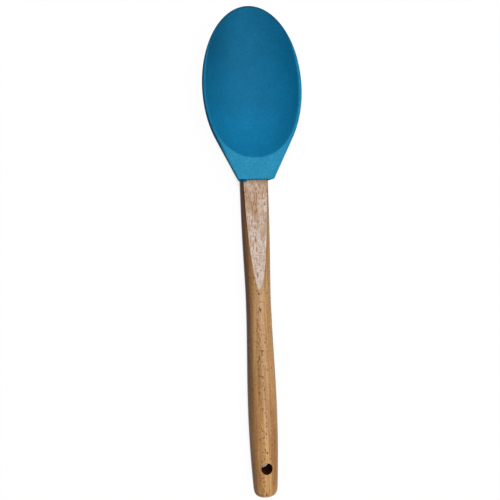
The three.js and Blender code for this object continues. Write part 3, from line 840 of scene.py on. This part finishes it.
def stick_nodes(maker, size):
    """Oval stick with a bevel on each face and a rounded end, which carries its depth of cut and its side."""
    quarter = math.pi / 2
    highest_corner = 0.985
    grid = maker.add("GeometryNodeMeshGrid", {
        "Size X": 1.0, "Size Y": 1.0, "Vertices X": HANDLE_COLUMNS + 1, "Vertices Y": HANDLE_RINGS + 1})
    grid_x, grid_y, _ = maker.split(maker.add("GeometryNodeInputPosition").outputs[0])
    along = grid_y + 0.5
    body = maker.calc("MINIMUM", along / HANDLE_BODY_SHARE, 1.0)
    end = maker.calc("MAXIMUM", along - HANDLE_BODY_SHARE, 0.0) / (1 - HANDLE_BODY_SHARE)
    end_share = maker.calc("SINE", end * quarter)
    body_length = size["handle_length"] + size["shoulder"] - size["butt_round"]
    distance = body * body_length + end_share * size["butt_round"] - size["shoulder"]
    narrowing = maker.calc("MAXIMUM", 1.0 - end_share ** BUTT_ROUND_POWER, 0.0) ** (1 / BUTT_ROUND_POWER)
    narrowing = narrowing * maker.calc("GREATER_THAN", along, 0.5 / HANDLE_RINGS)
    half_width = stick_size(maker, distance, size, "width", size["grip_width"]) * narrowing / 2.0
    full_depth = stick_size(maker, distance, size, "depth", size["grip_depth"]) / 2.0
    half_depth = full_depth * narrowing
    run_out = stick_size(maker, size["bevel_length"], size, "depth", size["grip_depth"]) / 2.0
    bevel_start = size["neck_flat"] / 2.0
    bevel_share = maker.calc("MAXIMUM", distance, 0.0) / size["bevel_length"]
    plane = bevel_start + bevel_share * (run_out - bevel_start)

    turn = (grid_x + 0.5) * (2 * math.pi)
    across = maker.calc("SIGN", maker.calc("COSINE", turn))
    sine = maker.calc("SINE", turn)
    lift = maker.calc("ARCSINE", maker.calc("MINIMUM", maker.calc("ABSOLUTE", sine), 1.0))
    corner = maker.calc("ARCSINE", maker.calc("MINIMUM", plane / full_depth, highest_corner))
    lower = maker.calc("MINIMUM", lift, BEVEL_EDGE_TURN) * (corner / BEVEL_EDGE_TURN)
    upper_share = (quarter - corner) / (quarter - BEVEL_EDGE_TURN)
    lift = lower + maker.calc("MAXIMUM", lift - BEVEL_EDGE_TURN, 0.0) * upper_share
    rise = half_depth * maker.calc("SINE", lift)
    height = maker.calc("SMOOTH_MIN", rise, plane, size["bevel_softness"])
    rightness = maker.calc("COSINE", lift) * across
    z = size["axis_z"] + height * maker.calc("SIGN", sine)
    marked = grid.outputs["Mesh"]
    for name, value in {"cut": rise - plane, "side": rightness * -1.0}.items():
        inputs = {"Geometry": marked, "Name": name, "Value": value}
        store = maker.add("GeometryNodeStoreNamedAttribute", inputs, data_type="FLOAT", domain="POINT")
        marked = store.outputs[0]
    placed = maker.add("GeometryNodeSetPosition", {
        "Geometry": marked, "Position": maker.join(half_width * rightness, size["mouth_y"] - distance, z)})
    merged = maker.add("GeometryNodeMergeByDistance", {"Geometry": placed.outputs[0], "Distance": WELD})
    return merged.outputs[0]


def tenon_nodes(maker, size):
    """Flat tongue with rounded corners, from the mouth into the core."""
    line = maker.add("GeometryNodeCurvePrimitiveLine", {
        "Start": maker.join(0.0, size["mouth_y"], size["axis_z"]),
        "End": maker.join(0.0, size["tenon_end_y"], size["axis_z"])})
    tongue = maker.add("GeometryNodeCurvePrimitiveQuadrilateral", {
        "Width": size["tenon_width"], "Height": size["tenon_thickness"]})
    rounded = maker.add("GeometryNodeFilletCurve", {
        "Curve": tongue.outputs[0], "Radius": size["tenon_round"], "Count": TENON_CORNER_STEPS,
        "Limit Radius": True}, mode="POLY")
    return maker.add("GeometryNodeCurveToMesh", {
        "Curve": line.outputs[0], "Profile Curve": rounded.outputs[0], "Fill Caps": True}).outputs[0]


def drill_nodes(maker, size, hole_y):
    """Drill for the hanging hole, which flares at the stick's faces for the sanded edge."""
    overrun = 1.4
    steepest_flare = 0.97
    hole_distance = size["handle_length"] - size["hole_from_butt"]
    half_width = stick_size(maker, hole_distance, size, "width", size["grip_width"]) / 2.0
    half_depth = stick_size(maker, hole_distance, size, "depth", size["grip_depth"]) / 2.0
    radius = size["hole_diameter"] / 2.0
    drill = maker.add("GeometryNodeMeshCylinder", {
        "Vertices": HOLE_SIDES, "Side Segments": HOLE_ROWS, "Radius": radius,
        "Depth": size["grip_depth"] * overrun})
    x, y, z = maker.split(maker.add("GeometryNodeInputPosition").outputs[0])
    surface = half_depth * maker.calc("SQRT", 1.0 - (x / half_width) ** 2.0)
    rounding = size["hole_round"]
    climb = maker.calc("MAXIMUM", maker.calc("ABSOLUTE", z) - surface + rounding, 0.0)
    on_round = maker.calc("MINIMUM", climb, steepest_flare * rounding)
    flare = rounding - maker.calc("SQRT", rounding * rounding - on_round * on_round)
    wider = 1.0 + flare / radius
    return maker.add("GeometryNodeSetPosition", {
        "Geometry": drill.outputs["Mesh"],
        "Position": maker.join(x * wider, y * wider + hole_y, z + size["axis_z"])}).outputs[0]


def handle_tree(sizes, wood, dark_hole):
    """Node tree of the handle: a bevelled stick with a hidden tongue and a drilled hole, dark inside."""
    dark_hole_edge_share = 0.2
    tree = bpy.data.node_groups.new("wooden_handle", "GeometryNodeTree")
    tree.interface.new_socket("Geometry", in_out="OUTPUT", socket_type="NodeSocketGeometry")
    for name in sizes:
        tree.interface.new_socket(name, in_out="INPUT", socket_type="NodeSocketFloat")
    maker = NodeMaker(tree)
    given = maker.add("NodeGroupInput")
    size = {name: Term(maker, given.outputs[name]) for name in sizes}
    hole_y = size["mouth_y"] - size["handle_length"] + size["hole_from_butt"]

    whole = maker.add("GeometryNodeMeshBoolean", operation="UNION", solver="EXACT")
    for solid in (tenon_nodes(maker, size), stick_nodes(maker, size)):
        maker.put(whole.inputs["Mesh 2"], solid)
    drilled = maker.add("GeometryNodeMeshBoolean", {
        "Mesh 1": whole.outputs[0], "Mesh 2": drill_nodes(maker, size, hole_y)},
        operation="DIFFERENCE", solver="EXACT")
    real = maker.add("GeometryNodeRealizeInstances", {"Geometry": drilled.outputs[0]})
    dressed = maker.add("GeometryNodeSetMaterial", {"Geometry": real.outputs[0], "Material": wood})
    x, y, _ = maker.split(maker.add("GeometryNodeInputPosition").outputs[0])
    from_axis = maker.calc("SQRT", x * x + (y - hole_y) ** 2.0)
    dark_hole_radius = size["hole_diameter"] / 2.0 + dark_hole_edge_share * size["hole_round"]
    in_hole = maker.calc("LESS_THAN", from_axis, dark_hole_radius)
    hole_dressed = maker.add("GeometryNodeSetMaterial", {
        "Geometry": dressed.outputs[0], "Selection": in_hole, "Material": dark_hole})
    result = maker.add("NodeGroupOutput")
    maker.put(result.inputs[0], hole_dressed.outputs[0])
    return tree


def mesh_from_tree(name, tree, values):
    """Plain mesh that a node tree makes from named values."""
    carrier = bpy.data.objects.new(name, bpy.data.meshes.new(name))
    bpy.context.scene.collection.objects.link(carrier)
    modifier = carrier.modifiers.new(name, "NODES")
    modifier.node_group = tree
    identifiers = {item.name: item.identifier for item in tree.interface.items_tree if item.in_out == "INPUT"}
    for key, value in values.items():
        modifier[identifiers[key]] = value
    bpy.context.view_layer.update()
    evaluated = carrier.evaluated_get(bpy.context.evaluated_depsgraph_get())
    mesh = bpy.data.meshes.new_from_object(evaluated)
    carrier.modifiers.remove(modifier)
    bpy.data.objects.remove(carrier)
    return mesh


class SPOON_OT_silicone_head(bpy.types.Operator):
    """Mould the silicone head"""

    bl_idname = "spoon.silicone_head"
    bl_label = "Silicone head"

    def execute(self, context):
        settings = context.scene.spoon_head
        head = add_piece("silicone_head_skin", head_mesh(settings), silicone_material(settings))
        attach(head, "root")
        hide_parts("silicone_head")
        return {"FINISHED"}


class SPOON_OT_mould_flash(bpy.types.Operator):
    """Leave a little mould flash on the wood at the mouth"""

    bl_idname = "spoon.mould_flash"
    bl_label = "Mould flash"

    def execute(self, context):
        head = context.scene.spoon_head
        mesh = flash_mesh(head, context.scene.spoon_handle)
        flash = add_piece("mould_flash", mesh, silicone_material(head))
        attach(flash, "root")
        return {"FINISHED"}


class SPOON_OT_stiffening_core(bpy.types.Operator):
    """Finish the hidden core"""

    bl_idname = "spoon.stiffening_core"
    bl_label = "Stiffening core"

    def execute(self, context):
        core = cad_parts["stiffening_core"]
        core.data.materials.clear()
        core.data.materials.append(nylon_material(context.scene.spoon_core))
        return {"FINISHED"}


class SPOON_OT_wooden_handle(bpy.types.Operator):
    """Turn, bevel and drill the wooden handle"""

    bl_idname = "spoon.wooden_handle"
    bl_label = "Wooden handle"

    def execute(self, context):
        settings = context.scene.spoon_handle
        sizes = {name: getattr(settings, name) for name, prop in settings.bl_rna.properties.items()
                 if prop.type == "FLOAT" and prop.unit == "LENGTH"}
        sizes.update(handle_length=MOUTH_Y - BUTT_Y, grip_width=GRIP_WIDTH, grip_depth=GRIP_DEPTH,
                     mouth_y=MOUTH_Y, axis_z=AXIS_Z, tenon_end_y=TENON_END_Y)
        tree = handle_tree(sizes, wood_material(settings), dark_hole_material(settings))
        mesh = mesh_from_tree("wooden_handle_stick", tree, sizes)
        smooth_but_edges(mesh)
        handle = add_piece("wooden_handle_stick", mesh)
        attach(handle, "root")
        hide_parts("wooden_handle")
        return {"FINISHED"}


def area_lamp(name, place, target, size, power, tint):
    """Rectangular soft lamp that faces a point."""
    lamp = bpy.data.lights.new(name, "AREA")
    lamp.shape = "RECTANGLE"
    lamp.size, lamp.size_y = size
    lamp.energy = power
    lamp.color = tint
    holder = bpy.data.objects.new(name, lamp)
    holder.location = place
    holder.rotation_euler = (Vector(target) - Vector(place)).to_track_quat("-Z", "Y").to_euler()
    bpy.context.scene.collection.objects.link(holder)


def white_rays(maker):
    """1 for rays that show the white room: seen straight on, in a gloss or through glass."""
    path = maker.add("ShaderNodeLightPath")
    camera, glossy, through = [Term(maker, path.outputs[name]) for name in
                               ("Is Camera Ray", "Is Glossy Ray", "Is Transmission Ray")]
    return maker.calc("MAXIMUM", maker.calc("MAXIMUM", camera, glossy), through)


def floor_material(settings):
    """Pale floor that the camera sees as nearly white, with the spoon's shadow on it."""
    material, maker, shader, _ = new_material("pale_floor")
    shader.inputs["Base Color"].default_value = (*settings.floor_white, 1)
    shader.inputs["Roughness"].default_value = 0.9
    shader.inputs["Specular IOR Level"].default_value = 0.0
    open_sky = maker.add("ShaderNodeAmbientOcclusion", {"Distance": settings.contact_reach}).outputs["AO"]
    bright = FLOOR_GLOW * maker.ease(open_sky, 0.08, 0.5)
    glow = maker.add("ShaderNodeEmission", {"Color": (1, 1, 1, 1), "Strength": bright})
    seen = white_rays(maker) * (1 - settings.shadow_share)
    surface = maker.add("ShaderNodeMixShader", {0: seen, 1: shader.outputs[0], 2: glow.outputs[0]})
    output = material.node_tree.nodes["Material Output"]
    maker.put(output.inputs["Surface"], surface.outputs[0])
    return material


def white_room(settings):
    """World that lights the spoon evenly and shows white behind it."""
    world = bpy.data.worlds.new("white_room")
    world.use_nodes = True
    bpy.context.scene.world = world
    maker = NodeMaker(world.node_tree)
    background = world.node_tree.nodes["Background"]
    background.inputs["Color"].default_value = (1, 1, 1, 1)
    strength = settings.room_light + white_rays(maker) * (1 - settings.room_light)
    maker.put(background.inputs["Strength"], strength)


class SPOON_OT_stage(bpy.types.Operator):
    """Set the floor, the soft light and the camera"""

    bl_idname = "spoon.stage"
    bl_label = "Stage"

    def execute(self, context):
        scene = context.scene
        settings = scene.spoon_stage
        work = bmesh.new()
        bmesh.ops.create_grid(work, x_segments=1, y_segments=1, size=FLOOR_HALF_WIDTH)
        floor_mesh = bpy.data.meshes.new("floor")
        work.to_mesh(floor_mesh)
        work.free()
        floor = add_piece("floor", floor_mesh, floor_material(settings))
        white_room(settings)
        area_lamp("key_lamp", KEY_PLACE, KEY_TARGET, KEY_SIZE, settings.key_power, KEY_TINT)
        area_lamp("strip_lamp", STRIP_PLACE, STRIP_TARGET, STRIP_SIZE, settings.strip_power, STRIP_TINT)

        camera = bpy.data.cameras.new("camera")
        camera.sensor_width = SENSOR_WIDTH
        camera.lens = FOCAL_LENGTH / IMAGE_SIZE * SENSOR_WIDTH
        camera.clip_start = CAMERA_NEAR
        holder = bpy.data.objects.new("camera", camera)
        turn = Quaternion(CAMERA_TURN.normalized(), CAMERA_TURN.length).to_matrix().to_4x4()
        holder.matrix_world = Matrix.Translation(CAMERA_PLACE) @ turn
        scene.collection.objects.link(holder)
        scene.camera = holder
        scene.view_settings.view_transform = "Standard"
        return {"FINISHED"}


class SPOON_PT_sidebar(bpy.types.Panel):
    """Steps and sizes of the spoon"""

    bl_idname = "SPOON_PT_sidebar"
    bl_label = "Spoon"
    bl_space_type = "VIEW_3D"
    bl_region_type = "UI"
    bl_category = "Spoon"

    def draw(self, context):
        for operator in OPERATORS:
            self.layout.operator(operator.bl_idname)
        for setting in SETTINGS:
            group = getattr(context.scene, setting)
            column = self.layout.column()
            for name in group.__annotations__:
                column.prop(group, name)


SETTINGS = {
    "spoon_head": SiliconeHeadSettings,
    "spoon_handle": WoodenHandleSettings,
    "spoon_core": StiffeningCoreSettings,
    "spoon_stage": StageSettings,
}
OPERATORS = (
    SPOON_OT_silicone_head,
    SPOON_OT_mould_flash,
    SPOON_OT_stiffening_core,
    SPOON_OT_wooden_handle,
    SPOON_OT_stage,
)


def register():
    for cls in (*SETTINGS.values(), *OPERATORS, SPOON_PT_sidebar):
        bpy.utils.register_class(cls)
    for name, cls in SETTINGS.items():
        setattr(bpy.types.Scene, name, PointerProperty(type=cls))


def unregister():
    for name in SETTINGS:
        delattr(bpy.types.Scene, name)
    for cls in (SPOON_PT_sidebar, *reversed(OPERATORS), *reversed(SETTINGS.values())):
        bpy.utils.unregister_class(cls)


def main():
    register()
    bpy.ops.spoon.stage()
    bpy.ops.spoon.stiffening_core()
    bpy.ops.spoon.silicone_head()
    bpy.ops.spoon.mould_flash()
    bpy.ops.spoon.wooden_handle()


if __name__ == "__main__":
    main()
